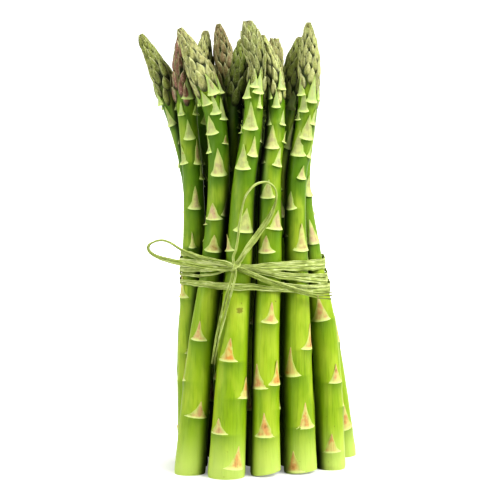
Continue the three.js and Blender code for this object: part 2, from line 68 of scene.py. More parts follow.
# One row a spear: middle line (x, y) at each level, tip (x, y, z), radius at each radius level,
# direction of its first scale leaf in degrees (0 is +X, 270 the front), slope of its cut end if it
# isn't square, and (height, direction, length) of the scale leaves on its open side. The bracts are
# smaller leaves close under the head: (height, direction, length, width as a share of a leaf's).
# Then its colours, from 0 to 1: tone is how dark a green its stem is, pale how light its head is,
# and purple how flushed. A full head bulges over its stem, a blunt one closes late, and a bowed one
# leans out sideways (x, y) halfway up. A mark is a brown graze: (height, direction, size).
SPEARS = {
    "spear_01": dict(
        at=((-32.5, -19), (-27, -16), (-21.5, -15), (-19, -13.5), (-21.5, -12.5)),
        tip=(-36.5, -14, 203.5), radii=(7.1, 5.3, 4.9, 4.8), turn=255,
        leaves=((26, 291, 8), (61, 252, 10), (101.5, 262, 8.5), (116, 243, 8.5), (136, 270, 12),
                (155, 239, 10)),
        bracts=((113.5, 195, 4, 0.45), (118, 318, 8, 0.6), (146.5, 210, 9, 0.5), (150.5, 313, 4, 0.45),
                (161, 322, 9, 0.7), (164, 281, 11, 0.6), (169, 246, 7, 0.5), (172.5, 290, 9, 0.62),
                (172, 335, 8, 0.5)),
        tone=0.35, pale=0.78, purple=0.12, full=0.2,
    ),
    "spear_02": dict(
        at=((-15.5, -26), (-12, -22.5), (-9.5, -21), (-7, -20), (-3, -19.5)),
        tip=(-5.8, -19, 206.5), radii=(8.5, 6.1, 5.4, 4.2), turn=300,
        leaves=((4, 303, 10), (19.5, 233, 8), (36, 330, 10), (52.5, 255, 10.5), (102, 196, 9),
                (111, 286, 12), (139, 243, 12), (157, 258, 12)),
        bracts=((145.5, 292, 9, 0.62), (155, 190, 4, 0.5), (167, 308, 8, 0.45), (171, 229, 9, 0.6),
                (173.5, 292, 11, 0.65), (176, 262, 8, 0.55)),
        tone=0.3, pale=0.3, full=-0.2, blunt=10, bow=(2.4, 0), mark=(76, 286, 2.3),
    ),
    "spear_03": dict(
        at=((2.5, -23), (2.5, -21.5), (4, -21), (4.5, -19), (7, -15)),
        tip=(1, -10.5, 200.5), radii=(7, 5.6, 5.1, 4.1), turn=250, slope=2.6,
        leaves=((18, 264, 11), (40, 232, 12.5), (41.5, 324, 12.5), (70, 291, 11),
                (101.5, 251, 7.5), (112, 312, 9), (126, 260, 9), (141, 192, 9), (148, 256, 11)),
        bracts=((140.5, 307, 8.5, 0.7), (151.5, 350, 6, 0.6), (158.5, 217, 10, 0.6), (159, 315, 7, 0.55),
                (166.5, 273, 8, 0.5), (170.5, 232, 8, 0.5), (174.5, 302, 9, 0.55)),
        tone=0.15, pale=1.0, full=0, bow=(1, 0),
    ),
    "spear_04": dict(
        at=((18.7, -16), (17, -16), (16.5, -15.5), (16.5, -15), (21.5, -14.5)),
        tip=(22, -14.5, 206), radii=(7.8, 5.4, 4.6, 4.2), turn=280, slope=1.6,
        leaves=((1, 243, 10), (21, 292, 11), (45, 238, 13), (57, 333, 13), (102, 301, 13),
                (121, 238, 9), (145, 246, 11), (153, 285, 11)),
        bracts=((135, 295, 7, 0.65), (145, 350, 9, 0.8), (160, 320, 7, 0.5), (161, 211, 5, 0.5),
                (165, 246, 12, 0.72), (169.5, 293, 12, 0.62), (172.5, 225, 8, 0.5)),
        tone=0.4, pale=0.75,
    ),
    "spear_05": dict(
        at=((33.2, -7.5), (30.2, -6), (23.5, -4.5), (18.6, -3), (22, 0)),
        tip=(23.5, 0.5, 195), radii=(7, 5.5, 4.8, 4.3), turn=230,
        leaves=((8, 274, 10), (40, 308, 10), (69, 270, 12), (104, 300, 12), (126, 320, 10)),
        tone=0.2, pale=0.6,
    ),
    "spear_06": dict(
        at=((40, 22), (31, 11), (23.5, 7.5), (18.5, 8), (21, 9.5)),
        tip=(23, 10, 190), radii=(7.1, 5.5, 4.8, 4.2), turn=300,
        tone=0.2, pale=0.5,
    ),
    "spear_07": dict(
        at=((16.5, -0.5), (13, -0.5), (9.5, -0.5), (8.2, -1.5), (12.3, -4)),
        tip=(18, -5.5, 200), radii=(6.9, 5.4, 4.8, 4.2), turn=260,
        bracts=((167, 289, 8, 0.65), (171.5, 244, 9.5, 0.5), (172, 200, 9, 0.6)),
        tone=0.7, pale=0.95, full=0.12,
    ),
    "spear_08": dict(
        at=((0, 0), (-2, -1.5), (-3, -4), (-3, -5.5), (-2.5, -5)),
        tip=(-2, -3.5, 196), radii=(7.2, 5.4, 4.7, 4), turn=90,
        tone=0.5, pale=0.0, purple=0.25, full=0.3, blunt=6, bow=(-3.6, 2.4),
    ),
    "spear_09": dict(
        at=((-15.5, -4.5), (-15.5, -3), (-16, -1), (-15.5, -2), (-12.5, -3.5)),
        tip=(-8.5, -4.5, 199), radii=(6.9, 5.4, 4.7, 4.1), turn=320,
        bracts=((158, 342, 8, 0.8), (162.5, 8, 9, 0.9), (165.5, 330, 10, 0.8)),
        tone=0.7, pale=0.1, full=0.35, bow=(0.9, 0),
    ),
    "spear_10": dict(
        at=((-31.5, -2.5), (-32, -3), (-30.5, -5), (-31, -4.5), (-34, -4)),
        tip=(-37, -4, 200.5), radii=(7.1, 5.5, 4.8, 4.2), turn=240,
        bracts=((103, 262, 7, 0.4), (120.5, 283, 12, 0.75), (134, 332, 8, 0.5), (141, 311, 11, 0.5),
                (141.5, 217, 10, 0.7), (152.5, 273, 9.5, 0.8), (163.5, 336, 7, 0.6), (164, 240, 7, 0.5),
                (171, 290, 10, 0.7)),
        tone=0.3, pale=0.5, purple=1.0,
    ),
    "spear_11": dict(
        at=((-32.5, 13), (-33, 10), (-30.5, 8), (-32, 6), (-41, 4)),
        tip=(-55.5, 1.5, 201.5), radii=(6.9, 5.3, 4.6, 4.1), turn=215,
        bracts=((160, 228, 9, 0.65), (170, 205, 11, 0.6)),
        tone=0.75, pale=0.35, purple=0.1, full=0.16, bow=(1.4, 0),
    ),
    "spear_12": dict(
        at=((-18.5, 19.5), (-18.5, 17.5), (-21, 16.5), (-25.5, 15.5), (-26.5, 15)),
        tip=(-25.5, 14.5, 204), radii=(7.1, 5.5, 4.8, 4), turn=90,
        bracts=((133, 259, 8.5, 0.45), (140.5, 247, 11, 0.55)),
        tone=0.25, pale=0.85,
    ),
    "spear_13": dict(
        at=((-3.5, 21), (-4.5, 20), (-5.5, 19.5), (-9, 17), (-13.5, 13.5)),
        tip=(-19.5, 11.5, 207), radii=(7, 5.5, 4.8, 4.1), turn=130,
        tone=0.5, pale=0.5, purple=0.55,
    ),
    "spear_14": dict(
        at=((10.5, 20), (8, 19.8), (7, 19), (5.5, 17), (5.5, 15.5)),
        tip=(7, 15.5, 200.5), radii=(7, 5.6, 4.9, 4.2), turn=60,
        tone=0.35, pale=0.85, purple=0.25, blunt=8,
    ),
    "spear_15": dict(
        at=((24.8, 19.5), (20.3, 18.8), (18, 17.8), (16.5, 18.2), (18.5, 18.8)),
        tip=(22, 19.5, 203), radii=(6.8, 5.4, 4.7, 4.1), turn=30,
        tone=0.45, pale=0.5,
    ),
}

HEAD_LENGTH = 37  # from neck to tip, along the height
HEAD_TAPER = 0.1  # share of the stem's radius that a head loses evenly on its way up
HEAD_CLOSING = 0.86  # share that it loses towards its tip, by the power of its bluntness
HEAD_BULGE = 0.75  # share of a head that its fullness reaches
USUAL_FULLNESS = 0.06
USUAL_BLUNTNESS = 4.2
SPEAR_SIDES = 48
SPEAR_RINGS = 150
CAP_INSETS = 4
SPEAR_CREASE = 55  # degrees above which an edge stays sharp
NEIGHBOUR_GAP = 0.2  # left between two spears that press on each other
LEAST_REACH = 0.12  # no point of a spear is nearer its middle line
REACH = 30  # spears further apart than this never touch
CREVICE_SHADE = 3.6  # how far out the painted shade between two spears that press together fades

GOLDEN_ANGLE = 137.5  # turn from one scale leaf to the next, in degrees
FIRST_LEAF = 14  # height of the lowest scale leaf
JITTER = 6  # degrees that a leaf's direction wanders
STEM_LEAF_STEP = (15, 9.5)  # height between leaves at the cut and at the neck
STEM_LEAF_LENGTH = 11.5
STEM_LEAF_HALF_ANGLE = (46, 54)  # half of what a leaf spans round the stem, at the cut and the neck
# Head scales, by share of the way from the neck (0) to the tip (1).
HEAD_LEAF_STEP = ((0, 1.5), (0.15, 0.8), (0.6, 0.52), (1, 0.4))
HEAD_LEAF_LENGTH = ((0, 10), (0.2, 9), (0.6, 7.4), (1, 4.8))
HEAD_LEAF_HALF_ANGLE = ((0, 27), (0.15, 23), (0.7, 25), (1, 46))
HEAD_LEAF_START = 0.09  # share of the head below which stem leaves still grow
HEAD_LEAF_END = 2  # no head scale starts this close under the tip
LEAF_CLEARANCE = 8  # height that a grown leaf keeps from a placed one that faces much the same way
UPPER_LEAF_WIDTH = 0.7  # width of the grown leaves above the neck, as a share of the others'
STEM_LEAF_ROWS = (6, 6)  # faces across and up a stem leaf
HEAD_LEAF_ROWS = (4, 6)
FOOT_ROWS = 1.6  # power that draws the rows of a stem leaf towards its foot
# Outlines: half widths at shares of the way up a leaf. A low leaf has a thin foot that runs out
# sideways, then hollow sides. A high one clasps the stem, then narrows like a bell. A head scale is
# a long lens from a narrow foot to a point.
LOW_LEAF = ((0, 1.15), (0.05, 0.98), (0.12, 0.72), (0.25, 0.5), (0.45, 0.34), (0.7, 0.19), (0.86, 0.1),
            (1, 0.02))
HIGH_LEAF = ((0, 1), (0.06, 0.92), (0.18, 0.68), (0.4, 0.48), (0.65, 0.31), (0.85, 0.15), (1, 0.03))
HEAD_SCALE = ((0, 0.5), (0.12, 0.82), (0.34, 1), (0.6, 0.8), (0.82, 0.42), (1, 0.03))
LEAF_THICKNESS = 0.26
LEAF_FREE = 0.7  # share up a leaf above which it stands off the stem
LEAF_ROOT = -0.6  # how deep the back of a leaf lies in the stem below that
STEM_LEAF_LEAN = 5  # most that a leaf's point strays sideways, in degrees
HEAD_LEAF_LEAN = 9
LEAF_SWELL = 0.42  # how far a stem swells under a leaf
LEAF_SPREAD = 62  # degrees to each side that the swelling of a leaf, and the shade painted under it, reach
TIE_BAND = (80.5, 101.5)  # between these heights the raffia presses the leaves flat
PRESSED_LIFT = 0.3

# ---- Driving dimensions of the raffia, in mm ----
KNOT = (-11.4, -29.9, 96)
ROUTE_FINENESS = 24  # points between two points of a route, before they are spaced evenly

# The free strands, each from the knot along its route: how wide the strip is and how far it is
# turned from facing the front, both at shares of its length, and the plies it splits into, each
# as its share of the width, where it lies across, and where it has strayed to at the free end.
STRANDS = {
    "raffia_loop_left": dict(
        route=(
            (-15.5, -30.4, 95), (-20.4, -30.2, 95.4), (-25.3, -29.8, 96), (-30.3, -29, 96.8),
            (-35.3, -28, 97.6), (-40.3, -26.6, 98.5), (-44.9, -25.2, 99.6), (-48.5, -24.3, 101.2),
            (-50.6, -23.8, 103.2), (-50.3, -23.8, 105.6), (-47.6, -24, 107.2), (-44, -24.6, 107.7),
            (-40.3, -25.6, 106.4), (-36.2, -27, 104), (-31.6, -28.6, 102), (-26.2, -30.4, 100.4),
            (-20.8, -31.8, 99.1), (-15.3, -32.6, 98.1),
        ),
        width=((0, 1.8), (0.12, 2.2), (0.3, 2.7), (0.42, 2), (0.55, 1.7), (0.75, 1.6), (1, 2.2)),
        turn=((0, 0), (0.3, -14), (0.42, 38), (0.5, 54), (0.55, 126), (0.8, 160), (1, 180)),
        plies=((0.62, -0.18, -0.18), (0.5, 0.24, 0.24)),
        pale=0.25,
        far_end="object",
    ),
    "raffia_loop_right": dict(
        route=(
            (-12.2, -30.5, 100.4), (-10.9, -30.4, 103.8), (-10, -30.2, 109.1), (-9.1, -30, 116.3),
            (-8, -29.6, 123), (-6.2, -29.2, 128.6), (-2.9, -28.7, 132.6), (1.2, -28.4, 134.2),
            (5, -28.2, 133.2), (7.2, -28.2, 129.9), (6.8, -28.5, 124.7), (4.3, -29, 118.9),
            (0.5, -29.8, 113.1), (-3.5, -30.8, 107.6), (-6.8, -31.5, 103), (-8.8, -31.7, 100),
        ),
        width=((0, 1.1), (0.25, 1.3), (0.45, 1.5), (0.6, 1.5), (0.7, 2.4), (0.82, 3), (1, 2.2)),
        turn=((0, 30), (0.25, 50), (0.45, 62), (0.58, 118), (0.68, 165), (0.78, 180), (1, 180)),
        plies=((0.58, -0.2, -0.2), (0.52, 0.24, 0.24)),
        pale=0.4,
        far_end="object",
    ),
    "raffia_end_down": dict(
        route=(
            (-12, -30.8, 91.8), (-13.2, -30.8, 87.1), (-15, -30, 81.1), (-16.6, -29, 74.7),
            (-18.2, -28.2, 68.2), (-19.6, -27.5, 61.8), (-20.7, -26.8, 56.2), (-21.4, -26.2, 51.5),
        ),
        width=((0, 2.2), (0.2, 3), (0.6, 2.7), (1, 1.9)),
        turn=((0, 0), (0.5, 12), (1, -8)),
        plies=((0.46, -0.29, -0.27), (0.4, 0.28, 0.33)),
        pale=0.25,
        far_end="bare",
    ),
    "raffia_end_right": dict(
        route=(
            (-7.1, -30.9, 94.3), (-2, -30.6, 92), (3.4, -30, 89.7), (9.3, -29.2, 87.6),
            (15.2, -27.4, 85.6), (21.1, -25, 83.8), (26.8, -22, 82.2), (32.6, -18.9, 81.4),
        ),
        width=((0, 2), (0.3, 2.6), (0.8, 2.4), (1, 2)),
        turn=((0, 0), (0.5, -10), (1, 6)),
        plies=((0.34, -0.35, -0.5), (0.33, 0.01, 0.3), (0.28, 0.36, 0.95)),
        pale=0.15,
        far_end="bare",
    ),
}
STRAND_THICKNESS = 0.5
STRAND_PLEAT = 0.26  # depth of the lengthwise folds
STRAND_STEPS = 130  # points along a strand
STRIP_ROWS = 9  # faces across a strip
STRAY_FROM = 0.72  # share of a strand beyond which its plies part
DRY_FROM = 0.82  # share of a bare end beyond which it darkens
RAFFIA_CREASE = 50  # degrees above which an edge stays sharp

# The strips of the wrapped strand: how far off the stems each lies, and its height and width at
# bearings round the bundle (0 is +X, 270 the front). The strips meet under the knot and cross behind.
WRAP_BEARINGS = (20, 90, 160, 197, 214, 230, 245, 261, 274, 294, 314, 341)
WRAPS = (
    dict(off=0.95, heights=(96.6, 97.6, 99.3, 100.8, 99, 97.6, 96.8, 96, 95.8, 95.6, 95.5, 95.2),
         widths=(4, 3.6, 3, 2.6, 2.8, 3, 2.2, 2, 2.8, 3.6, 4, 4.2)),
    dict(off=0.7, heights=(88.6, 90, 93.2, 94.8, 95.2, 95.6, 96.2, 94.6, 93.2, 91.1, 89.7, 87.8),
         widths=(3.2, 3, 3, 2.8, 2.7, 2.4, 1.9, 2, 2.4, 2.5, 2.6, 3)),
    dict(off=0.8, heights=(84, 87.6, 87.6, 87.2, 87.6, 87.2, 86.9, 86.9, 86.2, 85.4, 84.8, 83.9),
         widths=(3.2, 3, 2.6, 2.4, 3, 3.4, 3.5, 3.1, 2.7, 2.6, 2.8, 3.2)),
    dict(off=1.2, heights=(98.2, 95.6, 92.6, 92.9, 93.7, 94.4, 95.8, 96.2, 97, 97.6, 97.6, 97.3),
         widths=(1.6, 1.6, 1.6, 1.9, 1.8, 1.7, 1.3, 1.4, 1.5, 1.5, 1.5, 1.7)),
    dict(off=1.1, heights=(91.4, 88.6, 90.6, 90.9, 90.9, 92.4, 95.2, 95.2, 94, 92.5, 91.6, 90.4),
         widths=(1.7, 1.6, 1.4, 1.3, 1.4, 1, 0.9, 1.2, 1.4, 1.4, 1.4, 1.7)),
    dict(off=1.35, heights=(86.6, 92.6, 97.6, 97.4, 97.2, 97, 96.4, 93.4, 90.4, 87.6, 86.4, 85.8),
         widths=(1.5, 1.4, 1.7, 1.8, 1.7, 1.6, 1.2, 1.2, 1.3, 1.4, 1.4, 1.5)),
)
WRAP_THICKNESS = 0.32
WRAP_PLEAT = 0.15
WRAP_STEPS = 300
WRAP_EASING = 6  # times that heights and widths are averaged with those beside them

# The turns of the knot, over what meets behind it: route, width.
KNOT_TURNS = (
    (((0.4, 1.9, 2.2), (0.3, 0.1, 2.3), (0.1, -1.6, 1.5), (-0.1, -2, 0), (-0.3, -1.6, -1.5),
      (-0.5, 0.1, -2.3), (-0.6, 1.9, -2)), 1.8),
    (((-2.4, 1.2, -1.4), (-2, -0.6, -1.1), (-0.8, -1.9, -0.5), (0.6, -2, 0.4), (1.8, -0.7, 1),
      (2.3, 1.1, 1.4)), 1.4),
)
KNOT_CORE = (1.9, 1.5, 1.8)  # half its width, depth and height
KNOT_MOUTH = (0, -0.9, 0)  # where the free strands leave it, from its middle
KNOT_HEART = (0, 1.5, 0)  # what its turns face away from
KNOT_THICKNESS = 0.4
KNOT_STEPS = 60

# ---- Stage dimensions, in m ----
FLOOR_SIZE = 24
GLOW = (0.035, 0.07)  # how far from the middle of the bundle the floor grows brighter

# ---- Modelling helpers ----


def deselect():
    if bpy.context.object and bpy.context.object.mode != "OBJECT":
        bpy.ops.object.mode_set(mode="OBJECT")
    bpy.ops.object.select_all(action="DESELECT")


def select(*pieces):
    deselect()
    for piece in pieces:
        piece.select_set(True)
    bpy.context.view_layer.objects.active = pieces[0]


def points_of(piece):
    co = np.zeros(len(piece.data.vertices) * 3)
    piece.data.vertices.foreach_get("co", co)
    return co.reshape(-1, 3)


def place_points(piece, points_mm):
    piece.data.vertices.foreach_set("co", (np.asarray(points_mm) * MM).ravel())
    piece.data.update()


def set_attributes(piece, **given):
    """Numbers for each point of a piece, which its material reads."""
    for name, values in given.items():
        values = np.broadcast_to(np.asarray(values, float), len(piece.data.vertices))
        layer = piece.data.attributes.get(name) or piece.data.attributes.new(name, "FLOAT", "POINT")
        layer.data.foreach_set("value", values.astype(np.float32))


def copy_of(blank, name):
    piece = blank.copy()
    piece.data = blank.data.copy()
    piece.name = name
    bpy.context.scene.collection.objects.link(piece)
    return piece


def join(pieces, name):
    select(*pieces)
    bpy.ops.object.join()
    joined = bpy.context.object
    joined.name = name
    joined.data.name = name
    return joined


def remove(*blanks):
    for blank in blanks:
        bpy.data.objects.remove(blank)


def end_blank():
    """Turns every face of a closed blank outwards, and ends its edit mode."""
    bpy.ops.mesh.select_all(action="SELECT")
    bpy.ops.mesh.normals_make_consistent(inside=False)
    bpy.ops.object.mode_set(mode="OBJECT")


def round_bar(sides, rings, cap_insets):
    """A straight closed bar of radius 1 and height 1: a circle drawn up ring by ring."""
    deselect()
    bpy.ops.mesh.primitive_circle_add(vertices=sides, radius=1, fill_type="NGON", location=(0, 0, 0))
    bar = bpy.context.object
    bpy.ops.object.mode_set(mode="EDIT")
    for _ in range(rings):
        bpy.ops.mesh.extrude_region_move(TRANSFORM_OT_translate={"value": (0, 0, 1 / rings)})
    bpy.ops.mesh.select_mode(type="FACE")
    bpy.ops.mesh.select_all(action="DESELECT")
    bpy.ops.object.mode_set(mode="OBJECT")
    for face in bar.data.polygons:
        face.select = face.center.z < 1e-6 and len(face.vertices) == sides
    bpy.ops.object.mode_set(mode="EDIT")
    for _ in range(cap_insets):
        bpy.ops.mesh.inset(thickness=1 / (cap_insets + 1))
    end_blank()
    return bar


def flat_blank(across, along, name):
    """A flat sheet from -1 to 1 both ways, at height 0."""
    deselect()
    bpy.ops.mesh.primitive_grid_add(x_subdivisions=across, y_subdivisions=along, size=2, location=(0, 0, 0))
    piece = bpy.context.object
    piece.name = name
    bpy.ops.object.mode_set(mode="EDIT")
    bpy.ops.mesh.select_all(action="SELECT")
    return piece


def strip_blank(across, along):
    """A sheet with a like sheet under it, closed all round."""
    piece = flat_blank(across, along, "strip_blank")
    bpy.ops.mesh.extrude_region_move(TRANSFORM_OT_translate={"value": (0, 0, -1)})
    end_blank()
    return piece


def leaf_blank(across, along, name):
    """A sheet whose rim is drawn down and closed underneath by one face."""
    piece = flat_blank(across, along, name)
    bpy.ops.mesh.region_to_loop()
    bpy.ops.mesh.extrude_edges_move(TRANSFORM_OT_translate={"value": (0, 0, -1)})
    bpy.ops.mesh.edge_face_add()
    end_blank()
    return piece


def shape_of(blank):
    """Where each point of a flat blank is: across, up from 0 to 1, and whether it is underneath."""
    local = points_of(blank)
    return local[:, 0], (local[:, 1] + 1) / 2, local[:, 2] < -0.5


def finish_piece(piece, material, node, angle):
    select(piece)
    bpy.ops.object.shade_smooth_by_angle(angle=math.radians(angle))
    piece.data.materials.clear()
    piece.data.materials.append(material)
    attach(piece, "root")
    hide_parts(node)


def draw(seed, number):
    """A repeatable draw from -1 to 1."""
    s = math.sin(seed * 127.1 + number * 311.7) * 43758.5453
    return 2 * (s - math.floor(s)) - 1


def mix(pair, share):
    return pair[0] + (pair[1] - pair[0]) * min(max(share, 0), 1)


def along(pairs, share):
    """The value at a share of the way, from (share, value) pairs."""
    return float(np.interp(share, *zip(*pairs)))


def unit(v):
    return v / np.maximum(np.linalg.norm(v, axis=-1, keepdims=True), 1e-9)


def dot(a, b):
    return np.einsum("ij,ij->i", a, b)


def run_along(points):
    """How far along a line each of its points is."""
    steps = np.linalg.norm(np.diff(points, axis=0), axis=1)
    return np.concatenate([[0], np.cumsum(steps)])


def eased(t, start, end, start_slope, end_slope):
    """A cubic from start to end, as t goes from 0 to 1, with a given slope at each."""
    t2, t3 = t * t, t * t * t
    return (
        (2 * t3 - 3 * t2 + 1) * start
        + (t3 - 2 * t2 + t) * start_slope
        + (3 * t2 - 2 * t3) * end
        + (t3 - t2) * end_slope
    )


# ---- Raffia: the free strands ----


def smooth_route(route, count):
    """Evenly spaced points on a smooth curve through a route's points."""
    p = np.asarray(route, float)
    before = np.vstack([2 * p[0] - p[1], p[:-1]])
    after = np.vstack([p[1:], 2 * p[-1] - p[-2]])
    slope = (after - before) / 2
    fine = []
    for k in range(len(p) - 1):
        t = np.linspace(0, 1, ROUTE_FINENESS, endpoint=k == len(p) - 2)[:, None]
        fine.append(eased(t, p[k], p[k + 1], slope[k], slope[k + 1]))
    fine = np.vstack(fine)
    gone = run_along(fine)
    even = np.linspace(0, gone[-1], count)
    return np.stack([np.interp(even, gone, fine[:, k]) for k in range(3)], axis=1), gone[-1]


def strip_along(blank, name, line, side, out, width, thickness, pleat, seed):
    """Lays a closed strip along a line: side is across its face, out is the way its face looks."""
    piece = copy_of(blank, name)
    u, v, under = shape_of(blank)
    step = v * (len(line) - 1)
    low = np.minimum(step.astype(int), len(line) - 2)
    part = (step - low)[:, None]

    def at(values):
        return values[low] * (1 - part) + values[low + 1] * part

    w = at(np.asarray(width, float)[:, None])[:, 0]
    run = at(run_along(line)[:, None])[:, 0]
    wander = 1.3 * np.sin(run / 7 + 2 * seed) + 0.6 * np.sin(run / 2.7 + seed)
    fold = np.cos(2.5 * math.pi * u + wander) + 0.5 * np.cos(5.2 * math.pi * u - 1.4 * wander + seed)
    edge = 1 + 0.09 * np.sin(run / 1.9 + 3 * seed) * np.sign(u) + 0.05 * np.sin(run / 0.8 + seed)
    lift = pleat * fold * np.minimum(w / 2.4, 1) + np.where(under, -thickness / 2, thickness / 2)
    lift = lift * (1 - 0.75 * np.abs(u) ** 6)
    points = at(line) - at(side) * (u * edge * w / 2)[:, None] + at(out) * lift[:, None]
    place_points(piece, points)
    set_attributes(piece, strip_across=u * w / 2, strip_along=run)
    # The fold, which the raffia's material paints as shade in its troughs.
    set_attributes(piece, strip_fold=0.5 + fold / 3, strip_draw=0.6 + 0.4 * draw(seed, 5))
    return piece


def build_strand(blank, name, strand, seed, material):
    into_knot = tuple(np.add(KNOT, KNOT_MOUTH))
    ends = (into_knot,) if strand["far_end"] == "object" else ()
    line, length = smooth_route((into_knot, *strand["route"], *ends), STRAND_STEPS)
    share = np.linspace(0, 1, len(line))
    ahead = unit(np.gradient(line, axis=0))
    front = np.array([0.0, -1, 0])
    out = unit(front - ahead * (ahead @ front)[:, None])
    side = np.cross(out, ahead)
    angle = np.radians(np.interp(share, *zip(*strand["turn"])))[:, None]
    face = out * np.cos(angle) + side * np.sin(angle)
    cross = side * np.cos(angle) - out * np.sin(angle)
    width = np.interp(share, *zip(*strand["width"]))
    stray = np.clip((share - STRAY_FROM) / (1 - STRAY_FROM), 0, 1) ** 1.6
    plies = []
    for number, (part, place, end_place) in enumerate(strand["plies"]):
        middle = (place + (end_place - place) * stray) * width
        over = 0.16 * (number - 0.5) + 0.12 * np.sin(9 * share + number)
        ply = strip_along(
            blank, "ply", line + cross * middle[:, None] + face * over[:, None], cross, face,
            width * part, STRAND_THICKNESS, STRAND_PLEAT, seed + 0.37 * number,
        )
        set_attributes(ply, strip_draw=strand["pale"] + 0.2 * number)
        if strand["far_end"] == "bare":
            _, gone, _ = shape_of(blank)
            set_attributes(ply, strip_dry=np.clip((gone - DRY_FROM) / (1 - DRY_FROM), 0, 1))
        plies.append(ply)
    piece = join(plies, name + "_strip")
    finish_piece(piece, material, name, RAFFIA_CREASE)


def build_strands(material):
    blank = strip_blank(STRIP_ROWS, STRAND_STEPS)
    for seed, (name, strand) in enumerate(STRANDS.items()):
        build_strand(blank, name, strand, seed + 1, material)
    remove(blank)


# ---- Lines, radii and surfaces of the spears ----


def smooth(heights, values, z):
    """A smooth line through values given at rising heights, at an array of heights."""
    h = np.asarray(heights, float)
    v = np.asarray(values, float)
    z = np.asarray(z, float)
    last = len(h) - 1
    k = np.clip(np.searchsorted(h, z, side="left") - 1, 0, last - 1)
    a = np.maximum(np.arange(last + 1) - 1, 0)
    b = np.minimum(np.arange(last + 1) + 1, last)
    slopes = (v[b] - v[a]) / (h[b] - h[a])
    span = h[k + 1] - h[k]
    return eased((z - h[k]) / span, v[k], v[k + 1], span * slopes[k], span * slopes[k + 1])


def middle_of(spear, z):
    heights = (*LEVELS, spear["tip"][2])
    xs = [p[0] for p in spear["at"]] + [spear["tip"][0]]
    ys = [p[1] for p in spear["at"]] + [spear["tip"][1]]
    z = np.asarray(z, float)
    bow = np.sin(math.pi * np.clip((z - neck_of(spear)) / HEAD_LENGTH, 0, 1)) ** 2
    x, y = spear.get("bow", (0, 0))
    return np.stack([smooth(heights, xs, z) + x * bow, smooth(heights, ys, z) + y * bow, z], axis=-1)


def neck_of(spear):
    return spear["tip"][2] - HEAD_LENGTH


def radius_at(spear, z):
    """The radius without scale leaves: a tapering stem that closes over the head."""
    z = np.asarray(z, float)
    neck = neck_of(spear)
    up = np.clip((z - neck) / HEAD_LENGTH, 0, 1)
    stem = smooth(RADIUS_LEVELS, spear["radii"], np.minimum(z, min(neck, LEVELS[-1])))
    full = spear.get("full", USUAL_FULLNESS) * np.sin(math.pi * np.minimum(up / HEAD_BULGE, 1)) ** 2
    blunt = spear.get("blunt", USUAL_BLUNTNESS)
    return stem * (1 + full - HEAD_TAPER * up - HEAD_CLOSING * up**blunt)


def frames_at(spear, z):
    ahead = unit(middle_of(spear, z + 1) - middle_of(spear, z - 1))
    across = unit(np.array([1.0, 0, 0]) - ahead * ahead[..., :1])
    return across, np.cross(ahead, across)


def neighbours_of(spear):
    return [other for other in SPEARS.values() if other is not spear]


def kept_clear(spear, points):
    """Keeps points of one spear on its own side of the surface halfway to each neighbour."""
    own = middle_of(spear, points[:, 2])
    radius = radius_at(spear, points[:, 2])
    for other in neighbours_of(spear):
        z = np.minimum(points[:, 2], other["tip"][2])
        towards = middle_of(other, z) - own
        towards[:, 2] = 0
        apart = np.linalg.norm(towards, axis=1)
        towards = unit(towards)
        free = apart - radius - radius_at(other, z)
        limit = radius + free / 2 - NEIGHBOUR_GAP / 2
        beyond = dot(points - own, towards) - limit
        near = (apart < REACH) & (points[:, 2] < other["tip"][2] + 1)
        points = points - towards * np.where(near, np.maximum(beyond, 0), 0)[:, None]
    return points


def surface_points(spear, z, degrees, lift):
    """Points of a spear at heights, in directions round it, lifted off its surface."""
    z, degrees, lift = np.broadcast_arrays(
        np.asarray(z, float), np.asarray(degrees, float), np.asarray(lift, float)
    )
    across, back = frames_at(spear, z)
    pressed = (z > TIE_BAND[0]) & (z < TIE_BAND[1])
    off = np.where(pressed, np.minimum(lift, PRESSED_LIFT), lift)
    reach = np.maximum(radius_at(spear, z) + off, LEAST_REACH)
    angle = np.radians(degrees)
    points = middle_of(spear, z)
    points = points + across * (reach * np.cos(angle))[:, None]
    points = points + back * (reach * np.sin(angle))[:, None]
    return kept_clear(spear, points)


def pressed_together(spear, points):
    """How near points of one spear are to its neighbours: 1 where they touch, 0 well away; the skin paints
    it as shade.
    """
    clear = np.ones(len(points))
    for other in neighbours_of(spear):
        z = np.clip(points[:, 2], 0, other["tip"][2])
        gap = np.linalg.norm(points - middle_of(other, z), axis=1) - radius_at(other, z)
        clear = clear * (1 - np.exp(-((gap.clip(0) / CREVICE_SHADE) ** 2)))
    return 1 - clear


def graze(spear, points):
    """How deep in the spear's graze each point is, from 0 to 1."""
    if "mark" not in spear:
        return np.zeros(len(points))
    z, facing, size = spear["mark"]
    middle = surface_points(spear, [z], [facing], [0])[0]
    return np.exp(-((np.linalg.norm(points - middle, axis=1) / size) ** 2))


# ---- Raffia: the wraps and the knot ----


def line_round_bundle(z, gap, count):
    """Evenly spaced points of a line drawn tight round the spears, and which way it faces."""
    degrees = np.arange(0, 360, 0.25)
    facing = np.stack([np.cos(np.radians(degrees)), np.sin(np.radians(degrees))])
    centres = np.array([middle_of(spear, z) for spear in SPEARS.values()])[:, :2]
    radii = np.array([radius_at(spear, z) for spear in SPEARS.values()])
    outer = (centres @ facing + radii[:, None]).argmax(axis=0)
    points = centres[outer] + (radii[outer] + gap)[:, None] * facing.T
    points = np.vstack([points, points[:1]])
    gone = run_along(points)
    even = np.linspace(0, gone[-1], count)
    turned = np.radians(np.interp(even, gone, np.append(degrees, 360)))
    out = np.stack([np.cos(turned), np.sin(turned), 0 * turned], axis=1)
    return np.interp(even, gone, points[:, 0]), np.interp(even, gone, points[:, 1]), out


def bundle_reach(z, out):
    """How far the spears reach outwards at heights, in directions round the bundle."""
    return np.max([dot(middle_of(spear, z), out) + radius_at(spear, z) for spear in SPEARS.values()], axis=0)


